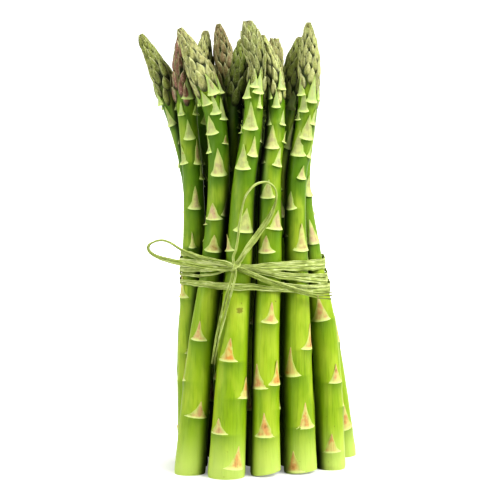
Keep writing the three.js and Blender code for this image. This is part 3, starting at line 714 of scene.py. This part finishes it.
def round_the_bundle(values, bearing):
    """Values given at the wraps' bearings, at other bearings, with the steps between them eased."""
    values = np.interp(bearing, WRAP_BEARINGS, values, period=360)
    ring = values[:-1]
    for _ in range(WRAP_EASING):
        ring = (np.roll(ring, 1) + 2 * ring + np.roll(ring, -1)) / 4
    return np.append(ring, ring[0])


def build_wrap(blank, wrap, seed):
    mean = np.mean(wrap["heights"])
    x, y, out = line_round_bundle(mean, wrap["off"], WRAP_STEPS)
    bearing = np.degrees(np.arctan2(y, x)) % 360
    z = round_the_bundle(wrap["heights"], bearing)
    width = round_the_bundle(wrap["widths"], bearing)
    rise = bundle_reach(z, out) - bundle_reach(0 * z + mean, out)
    line = np.stack([x, y, z], axis=1) + out * rise[:, None]
    side = unit(np.cross(out, unit(np.gradient(line, axis=0))))
    return strip_along(blank, "wrap", line, side, out, width, WRAP_THICKNESS, WRAP_PLEAT, 10 + seed)


def build_knot_turn(blank, route, width, seed):
    line, _ = smooth_route(np.array(route) + KNOT, KNOT_STEPS)
    ahead = unit(np.gradient(line, axis=0))
    out = unit(line - (np.array(KNOT) + KNOT_HEART))
    out = unit(out - ahead * dot(out, ahead)[:, None])
    side = np.cross(out, ahead)
    width = np.full(KNOT_STEPS, width)
    return strip_along(blank, "knot", line, side, out, width, KNOT_THICKNESS, WRAP_PLEAT, 20 + seed)


def build_knot_core():
    deselect()
    bpy.ops.mesh.primitive_uv_sphere_add(segments=24, ring_count=14, radius=1, location=(0, 0, 0))
    core = bpy.context.object
    local = points_of(core)
    turn = np.arctan2(local[:, 0], local[:, 2])
    creased = 1 + 0.07 * np.cos(7 * turn + 2 * local[:, 1])
    place_points(core, local * KNOT_CORE * creased[:, None] + KNOT)
    set_attributes(core, strip_across=turn, strip_along=3 * local[:, 1], strip_fold=0.5, strip_draw=0.4)
    return core


def build_band(material):
    blank = strip_blank(STRIP_ROWS, WRAP_STEPS)
    short = strip_blank(STRIP_ROWS, KNOT_STEPS)
    parts = [build_knot_core()]
    parts += [build_wrap(blank, wrap, seed) for seed, wrap in enumerate(WRAPS)]
    parts += [build_knot_turn(short, *turn, seed) for seed, turn in enumerate(KNOT_TURNS)]
    remove(blank, short)
    piece = join(parts, "raffia_wraps_and_knot")
    finish_piece(piece, material, "raffia_band", RAFFIA_CREASE)


# ---- Scale leaves ----


def leaves_of(spear, seed):
    """The leaves: (height, direction, length, share up the stem or head, in the head, width)."""
    neck = neck_of(spear)
    placed = [(*leaf, 1) for leaf in spear.get("leaves", ())] + list(spear.get("bracts", ()))
    grown = [(z, facing, length, z / neck, False, width) for z, facing, length, width in placed]
    base = FIRST_LEAF + 3 * draw(seed, 0)
    number = 0
    while base < spear["tip"][2] - HEAD_LEAF_END:
        facing = spear["turn"] + GOLDEN_ANGLE * number + JITTER * draw(seed, number + 1)
        up = (base - neck) / HEAD_LENGTH
        if up >= HEAD_LEAF_START:
            length = along(HEAD_LEAF_LENGTH, up) * (1 + 0.2 * draw(seed + 7, number))
            grown.append((base, facing, length, up, True, 1))
            base += along(HEAD_LEAF_STEP, up)
        else:
            turned_away = math.sin(math.radians(facing)) > 0.2
            crowded = any(
                abs(z - base) < LEAF_CLEARANCE and math.cos(math.radians(turn - facing)) > 0.3
                for z, turn, *_ in placed
            )
            if (turned_away or "leaves" not in spear) and not crowded:
                width = 1 if up < 0 else UPPER_LEAF_WIDTH
                grown.append((base, facing, STEM_LEAF_LENGTH * (0.5 + width / 2), base / neck, False, width))
            base += min(mix(STEM_LEAF_STEP, base / neck), max(neck - base, 1.5))
        number += 1
    return grown


def widths_up(outline, v):
    return np.interp(v, *zip(*outline))


def head_scale_form(spear, where, u, v, number):
    """Half angle, lift and droop over a head scale: flush at its foot and proud over its bud."""
    up = where[3]
    side = np.abs(u)
    fullness = 1 + 0.5 * draw(number, 8)
    half = along(HEAD_LEAF_HALF_ANGLE, up) * (1 + 0.16 * draw(number, 6)) * widths_up(HEAD_SCALE, v)
    rise = np.interp(v, (0, 0.14, 0.4, 0.68, 0.88, 1), (0.12, 0.6, 1, 0.85, 0.55, 0.4))
    keel = 1 - 0.8 * side**1.6
    splay = 1.5 * up**3 if "blunt" in spear else 0
    flare = (mix((0.7, 0.35), up) * (1 + draw(number, 9)) + splay) * v**3
    front = 0.1 + mix((1.3, 0.75), up) * fullness * rise * keel + flare
    return half, front, 0.5 * side**2 * (1 - v)


def stem_leaf_form(where, u, v, number):
    """Half angle, lift and droop over a stem leaf, thin and pointed low down, clasping higher up."""
    share = where[3]
    width = where[5]
    side = np.abs(u)
    wide = min(max((share - 0.4) / 0.35, 0), 1)
    outline = widths_up(LOW_LEAF, v) * (1 - wide) + widths_up(HIGH_LEAF, v) * wide
    half = mix(STEM_LEAF_HALF_ANGLE, share) * outline
    half = half * width * (0.95 + 0.12 * draw(number, 10)) * (1 + 0.2 * draw(number, 6) * u)
    half = half * (1 + 0.12 * np.sin(8 * v + number) * np.minimum(3 * v, 1))
    foot = np.exp(-((v / 0.12) ** 2))
    front = 0.1 + 0.35 * (1 - side**2) * (1 - v) + mix((0.2, 1.0), wide) * foot * (1 - 0.85 * side**3)
    front = front + mix((0.25, 0.55), share) * (1 + draw(number, 9)) * v**3
    front = front + mix((0, 0.9), (share - 0.99) / 0.02)
    droop = width * mix((0.5, 1.1), share) * side**2 * (1 - v)
    return half, front, droop


def build_leaf(blank, spear, where, number):
    """Lays a copy of a flat blank on a spear as one scale leaf."""
    base, facing, length, _, in_head, _ = where
    u, v, under = shape_of(blank)
    if in_head:
        half, front, droop = head_scale_form(spear, where, u, v, number)
        lean = HEAD_LEAF_LEAN
    else:
        v = v**FOOT_ROWS
        half, front, droop = stem_leaf_form(where, u, v, number)
        lean = STEM_LEAF_LEAN
        length *= 1 + 0.12 * draw(number, 11)
    back = np.where(v > LEAF_FREE, front - LEAF_THICKNESS, LEAF_ROOT)
    z = base + v * min(length, spear["tip"][2] - base) + droop
    degrees = facing + u * half + lean * draw(number, 7) * v**2
    leaf = copy_of(blank, "leaf")
    place_points(leaf, surface_points(spear, z, degrees, np.where(under, back, front)))
    kind = 2 if in_head else 1
    set_attributes(leaf, leaf_across=u, leaf_up=v, leaf_kind=kind, leaf_draw=0.5 + 0.5 * draw(number, 3))
    set_attributes(leaf, height=base / spear["tip"][2], shade=0)
    return leaf


# ---- Stems ----


def build_stem(blank, spear, leaves, seed):
    """The bare stem and the core of the head, cut off on its slope at the foot."""
    stem = copy_of(blank, "stem")
    local = points_of(blank)
    share = local[:, 2]
    out = np.hypot(local[:, 0], local[:, 1])
    degrees = np.degrees(np.arctan2(local[:, 1], local[:, 0])) % 360
    low = spear["at"][0][0] - spear["radii"][0]
    fall = spear.get("slope", 0) / (2 * spear["radii"][0])
    cut = np.zeros(len(local))
    for _ in range(3):
        foot = surface_points(spear, cut, degrees, 0)
        cut = cut + np.maximum(foot[:, 0] - low, 0) * fall - foot[:, 2]
    z = cut + (spear["tip"][2] - cut) * share
    swell = np.zeros(len(z))
    shade = np.zeros(len(z))
    for base, facing, _, _, in_head, width in leaves:
        if in_head:
            continue
        turn = (degrees - facing + 180) % 360 - 180
        facing_it = np.exp(-((turn / LEAF_SPREAD) ** 2))
        near = np.exp(-(((z - base + 0.4) / 2) ** 2))
        swell = np.maximum(swell, LEAF_SWELL * width * facing_it * near)
        below = base - z
        # Painted shade on the stem just below each leaf's foot.
        shade = np.maximum(shade, facing_it * np.where(below > -0.6, np.exp(-below.clip(0) / 4.5), 0))
    a = np.radians(degrees)
    waver = 0.1 * np.sin(2 * a + z / 17 + seed) + 0.07 * np.sin(3 * a - z / 11 + 2 * seed)
    ribs = 0.035 * np.sin(11 * a + 0.6 * np.sin(z / 23 + seed)) * np.clip((168 - z) / 30, 0, 1)
    worn_edge = -0.35 * np.exp(-z.clip(0) / 0.5)
    points = surface_points(spear, z, degrees, swell + waver + ribs + worn_edge)
    on_cap = (share < 1e-6) & (out < 0.999)
    centre = points[(share < 1e-6) & (out > 0.999)].mean(axis=0)
    points[on_cap] = centre + (points[on_cap] - centre) * out[on_cap][:, None]
    points[:, 2] = points[:, 2].clip(0)
    place_points(stem, points)
    set_attributes(stem, leaf_across=0, leaf_up=0, leaf_kind=np.where(on_cap, -1, 0), leaf_draw=0.5)
    set_attributes(stem, height=points[:, 2] / spear["tip"][2], shade=shade)
    return stem


def build_spears(material):
    bar = round_bar(SPEAR_SIDES, SPEAR_RINGS, CAP_INSETS)
    stem_leaf = leaf_blank(*STEM_LEAF_ROWS, "stem_leaf_blank")
    head_leaf = leaf_blank(*HEAD_LEAF_ROWS, "head_leaf_blank")
    for index, (name, spear) in enumerate(SPEARS.items()):
        seed = index + 1
        leaves = leaves_of(spear, seed)
        parts = [build_stem(bar, spear, leaves, seed)]
        for number, where in enumerate(leaves):
            blank = head_leaf if where[4] else stem_leaf
            parts.append(build_leaf(blank, spear, where, 100 * seed + number))
        piece = join(parts, "asparagus_" + name[-2:])
        points = points_of(piece) / MM
        # How pressed together each point is, which the skin paints as shade, and the brown graze.
        set_attributes(piece, crevice=pressed_together(spear, points), graze=graze(spear, points))
        set_attributes(piece, tone=spear["tone"], pale=spear["pale"], purple=spear.get("purple", 0))
        finish_piece(piece, material, name, SPEAR_CREASE)
    remove(bar, stem_leaf, head_leaf)


# ---- Materials ----


def rgb(*display):
    """A display colour from 0 to 255 as the linear colour that a socket takes."""
    shares = [c / 255 for c in display]
    return (*(c / 12.92 if c <= 0.04045 else ((c + 0.055) / 1.055) ** 2.4 for c in shares), 1.0)


class Tree:
    """Adds and links nodes in one node tree."""

    def __init__(self, tree):
        self.tree = tree

    def link(self, source, target):
        self.tree.links.new(source, target)

    def feed(self, node, sockets):
        """Links or sets each named input of a node."""
        for name, value in sockets.items():
            if isinstance(value, bpy.types.NodeSocket):
                self.link(value, node.inputs[name])
            else:
                node.inputs[name].default_value = value

    def add(self, kind, sockets=(), **settings):
        """Adds a node with its inputs fed, and gives its outputs."""
        node = self.tree.nodes.new(kind)
        for key, value in settings.items():
            setattr(node, key, value)
        self.feed(node, dict(sockets))
        return node.outputs

    def attributes(self, *names):
        return [self.add("ShaderNodeAttribute", attribute_name=name)["Fac"] for name in names]

    def place(self):
        return self.add("ShaderNodeTexCoord")["Object"]

    def seen(self):
        return self.add("ShaderNodeLightPath")["Is Camera Ray"]

    def math(self, operation, a, b=0.0):
        return self.add("ShaderNodeMath", {0: a, 1: b}, operation=operation)[0]

    def times(self, a, b):
        return self.math("MULTIPLY", a, b)

    def plus(self, a, b):
        return self.math("ADD", a, b)

    def ramp(self, value, low, high, to_low=0.0, to_high=1.0):
        """Eases from one value to another as the input goes from low to high."""
        ends = {"From Min": low, "From Max": high, "To Min": to_low, "To Max": to_high}
        return self.add("ShaderNodeMapRange", {"Value": value, **ends}, interpolation_type="SMOOTHSTEP")[0]

    def mix(self, share, a, b):
        return self.add("ShaderNodeMix", {0: share, 6: a, 7: b}, data_type="RGBA")[2]

    def layers(self, base, *rows):
        """Lays colours over a base: (colour, mask, share) lays one by the mask's own value, and
        (colour, mask, share, low, high) eases it in as the mask goes from low to high."""
        for colour, mask, share, *ends in rows:
            amount = self.ramp(mask, *ends, 0, share) if ends else self.times(mask, share)
            base = self.mix(amount, base, rgb(*colour))
        return base

    def noise(self, vector, scale, detail=3.0):
        return self.add("ShaderNodeTexNoise", {"Vector": vector, "Scale": scale, "Detail": detail})["Fac"]

    def grain(self, group, place, scale, fineness, stretch):
        sockets = {"Place": place, "Scale": scale, "Fineness": fineness, "Stretch": stretch}
        made = self.add("ShaderNodeGroup", sockets, node_tree=group)
        return made["Streaks"], made["Fine"]

    def stretched(self, vector, x, y, z):
        return self.add("ShaderNodeMapping", {"Vector": vector, "Scale": (x, y, z)})["Vector"]

    def joined(self, x, y, z):
        return self.add("ShaderNodeCombineXYZ", {"X": x, "Y": y, "Z": z})["Vector"]

    def bump(self, height, strength, distance):
        return self.add("ShaderNodeBump", {"Height": height, "Strength": strength, "Distance": distance})[0]


def lengthwise_grain():
    """A node group: streaks that run along Z, and finer ones between them."""
    group = bpy.data.node_groups.new("lengthwise_grain", "ShaderNodeTree")
    group.interface.new_socket("Place", in_out="INPUT", socket_type="NodeSocketVector")
    for name in ("Scale", "Fineness", "Stretch"):
        group.interface.new_socket(name, in_out="INPUT", socket_type="NodeSocketFloat")
    for name in ("Streaks", "Fine"):
        group.interface.new_socket(name, in_out="OUTPUT", socket_type="NodeSocketFloat")
    t = Tree(group)
    given = t.add("NodeGroupInput")
    made = group.nodes.new("NodeGroupOutput")
    pull = t.joined(1, 1, given["Stretch"])
    drawn = t.add("ShaderNodeVectorMath", {0: given["Place"], 1: pull}, operation="MULTIPLY")["Vector"]
    finer = t.times(given["Scale"], given["Fineness"])
    t.feed(made, {"Streaks": t.noise(drawn, given["Scale"], 4), "Fine": t.noise(drawn, finer, 3)})
    return group


def new_material(name):
    material = bpy.data.materials.new(name)
    material.use_nodes = True
    return material, Tree(material.node_tree), material.node_tree.nodes["Principled BSDF"]


def asparagus_skin(grain):
    material, t, shader = new_material("asparagus_skin")
    place = t.place()
    kind, up, across, own_draw = t.attributes("leaf_kind", "leaf_up", "leaf_across", "leaf_draw")
    height, shade, tone, pale, purple = t.attributes("height", "shade", "tone", "pale", "purple")
    crevice, graze_depth = t.attributes("crevice", "graze")
    across = t.math("ABSOLUTE", across)

    streaks, hairs = t.grain(grain, place, 900, 2.5, 0.06)
    patches = t.noise(t.stretched(place, 1, 1, 0.35), 120, 3)
    specks = t.noise(place, 1500, 3)
    flecks = t.noise(t.stretched(place, 1, 1, 0.7), 560, 2)
    blotches = t.noise(place, 330, 2)

    # Stem: yellow-green below, deeper green above, pale at the cut, with painted shade under each leaf and
    # on the core of the head.
    low = t.mix(tone, rgb(150, 176, 32), rgb(112, 144, 16))
    high = t.mix(tone, rgb(110, 144, 26), rgb(72, 110, 14))
    scuffed = t.times(graze_depth, t.plus(specks, blotches))
    stem = t.mix(t.ramp(height, 0.25, 0.75), low, high)
    stem = t.layers(
        stem,
        ((178, 194, 64), patches, 0.6, 0.42, 0.66),
        ((98, 130, 12), streaks, 0.3, 0.48, 0.72),
        # painted shade under the leaves
        ((72, 112, 4), shade, 0.7),
        ((192, 210, 116), height, 0.75, 0.13, 0.0),
        ((116, 100, 40), flecks, 0.6, 0.72, 0.79),
        ((190, 200, 96), graze_depth, 0.5),
        ((112, 100, 24), scuffed, 0.7, 0.5, 0.85),
        # near-black painted shade on the head's core, seen between its scales
        ((46, 56, 16), height, 1, 0.84, 0.9),
    )

    # Stem leaf: tan and pink low down, cream and pale green higher, with a yellow foot and rim.
    ruddy = t.mix(own_draw, rgb(202, 146, 70), rgb(190, 158, 112))
    rosy = t.times(own_draw, t.ramp(height, 0.86, 0.68))
    grey_green = t.mix(rosy, rgb(160, 180, 112), rgb(192, 165, 134))
    leaf = t.mix(t.ramp(height, 0.36, 0.58), ruddy, grey_green)
    leaf = t.layers(
        leaf,
        ((198, 205, 128), blotches, 0.6, 0.42, 0.6),
        ((140, 98, 44), blotches, 0.6, 0.4, 0.26),
        ((138, 116, 62), streaks, 0.35, 0.5, 0.7),
        ((170, 184, 128), height, 0.5, 0.7, 0.84),
        ((176, 199, 106), across, 0.7, 0.4, 0.95),
        ((206, 221, 142), up, 0.85, 0.16, 0.02),
    )
    point = t.mix(t.ramp(height, 0.4, 0.6), rgb(196, 176, 128), rgb(160, 182, 92))
    leaf = t.mix(t.ramp(up, 0.6, 1.0, 0, 0.6), leaf, point)

    # Head scale: olive to pale green, with a pale rim, and dark painted shade on its foot and sides where
    # other scales cover it.
    rim = t.math("MAXIMUM", t.ramp(across, 0.5, 0.9), t.ramp(up, 0.72, 1.0))
    tucked_shade = t.times(t.ramp(across, 0.55, 1.0), t.ramp(up, 0.75, 0.3))
    covered_shade = t.math("MAXIMUM", tucked_shade, t.ramp(up, 0.3, 0.05, 0, 0.9))
    scale = t.mix(pale, rgb(98, 108, 48), rgb(204, 208, 142))
    scale = t.layers(
        scale,
        ((148, 140, 98), own_draw, 0.5),
        ((132, 156, 48), tone, 0.45, 0.55, 0.7),
        ((150, 164, 60), blotches, 0.35, 0.5, 0.64),
        ((142, 84, 90), purple, 0.8),
        ((84, 88, 38), streaks, 0.6, 0.44, 0.62),
        ((78, 84, 32), specks, 0.24, 0.54, 0.64),
        ((222, 226, 180), specks, 0.22, 0.46, 0.36),
        ((206, 210, 158), rim, 0.6),
        # painted shade where other scales cover it
        ((46, 54, 16), covered_shade, 0.9),
        ((96, 84, 48), height, 0.7, 0.965, 1.0),
    )

    colour = t.mix(t.ramp(kind, 0.0, 0.9), stem, leaf)
    colour = t.mix(t.ramp(kind, 1.1, 1.9), colour, scale)
    cut_face = t.mix(t.ramp(specks, 0.45, 0.6), rgb(218, 226, 172), rgb(184, 202, 124))
    colour = t.mix(t.ramp(kind, -0.2, -0.9), colour, cut_face)
    # Painted shade: near black where the spears press together, less on the head scales.
    painted_crevice_shade = t.times(t.ramp(crevice, 0.12, 0.8, 0, 0.97), t.ramp(kind, 1.1, 1.9, 1, 0.55))
    colour = t.mix(painted_crevice_shade, colour, rgb(12, 22, 2))

    rough = t.plus(t.ramp(kind, 0.0, 1.0, 0.36, 0.58), t.ramp(patches, 0.3, 0.7, -0.05, 0.08))
    rough = t.math("MAXIMUM", rough, t.ramp(crevice, 0.2, 0.7))
    relief = t.plus(t.times(streaks, 0.8), t.times(hairs, 0.3))
    rugged = t.times(specks, t.ramp(kind, 1.1, 1.9, 0, 0.35))
    relief = t.plus(relief, rugged)
    t.feed(shader, {
        "Base Color": colour,
        "Roughness": rough,
        "Normal": t.bump(relief, 0.6, 0.0004),
        "Specular IOR Level": 0.4,
        "Subsurface Weight": 0.1,
        "Subsurface Radius": (0.6, 1.0, 0.2),
        "Subsurface Scale": 0.0012,
    })
    return material


def raffia_fibre(grain):
    material, t, shader = new_material("raffia_fibre")
    fold, own_draw, dry = t.attributes("strip_fold", "strip_draw", "strip_dry")
    across, run = t.attributes("strip_across", "strip_along")
    place = t.joined(across, t.times(own_draw, 31), run)
    fibres, fine = t.grain(grain, place, 2.6, 4, 0.04)
    fade = t.noise(t.stretched(place, 0.4, 1, 0.2), 1.1, 2)

    colour = t.mix(own_draw, rgb(150, 168, 70), rgb(204, 213, 144))
    colour = t.layers(
        colour,
        ((134, 150, 66), fade, 0.6, 0.45, 0.65),
        ((220, 228, 176), fade, 0.6, 0.44, 0.26),
        ((98, 112, 40), fibres, 0.65, 0.54, 0.64),
        ((222, 228, 176), fibres, 0.55, 0.46, 0.34),
        ((88, 98, 34), fine, 0.45, 0.6, 0.72),
        # painted shade in the troughs of the pleats
        ((70, 82, 24), fold, 0.75, 0.36, 0.08),
        ((84, 82, 40), dry, 0.6),
    )
    t.feed(shader, {
        "Base Color": colour,
        "Roughness": t.ramp(fine, 0.3, 0.7, 0.5, 0.72),
        "Normal": t.bump(t.plus(fibres, t.times(fine, 0.5)), 0.8, 0.00025),
        "Specular IOR Level": 0.4,
    })
    return material


# ---- Stage ----


def add_floor():
    deselect()
    bpy.ops.mesh.primitive_plane_add(size=FLOOR_SIZE, location=(0, 0, 0))
    floor = bpy.context.object
    floor.name = "floor"
    material, t, shader = new_material("floor_paper")
    place = t.place()
    away = t.add("ShaderNodeVectorMath", {0: place}, operation="LENGTH")["Value"]
    t.feed(shader, {
        "Base Color": t.mix(t.noise(place, 3), (0.66, 0.66, 0.66, 1), (0.68, 0.68, 0.675, 1)),
        "Roughness": 0.7,
        "Emission Color": (1, 1, 1, 1),
        # Painted light: the floor glows for the camera only, more away from the bundle, so that the bundle's
        # cast shadow fades out there.
        "Emission Strength": t.times(t.seen(), t.ramp(away, *GLOW, 0.2, 0.75)),
    })
    floor.data.materials.append(material)


def add_sun(name, elevation, bearing, size, strength):
    """A wide soft sun: elevation above the floor and bearing round the bundle, in degrees."""
    light = bpy.data.lights.new(name, "SUN")
    light.angle = math.radians(size)
    light.energy = strength
    holder = bpy.data.objects.new(name, light)
    holder.rotation_euler = (math.radians(90 - elevation), 0, math.radians(90 + bearing))
    bpy.context.scene.collection.objects.link(holder)


def add_world():
    """A white tent, brighter behind the bundle than in front of it."""
    world = bpy.data.worlds.new("studio")
    world.use_nodes = True
    t = Tree(world.node_tree)
    way = t.add("ShaderNodeTexCoord")["Generated"]
    back = t.add("ShaderNodeSeparateXYZ", {"Vector": way})["Y"]
    tent = t.plus(t.ramp(back, -0.6, 0.4, 0.16, 0.5), t.ramp(back, 0.5, 0.9, 0.0, 0.45))
    strength = t.math("MAXIMUM", tent, t.seen())
    t.feed(world.node_tree.nodes["Background"], {"Color": (1, 1, 1, 1), "Strength": strength})
    bpy.context.scene.world = world


def add_studio():
    add_floor()
    add_sun("key", elevation=40, bearing=328, size=40, strength=3.2)
    add_sun("fill", elevation=24, bearing=206, size=40, strength=1.4)
    add_world()
    bpy.context.scene.view_settings.view_transform = "Standard"
    bpy.context.scene.view_settings.look = "High Contrast"


# ---- The bundle ----

add_camera()
grain = lengthwise_grain()
raffia = raffia_fibre(grain)
build_strands(raffia)
build_spears(asparagus_skin(grain))
build_band(raffia)
add_studio()
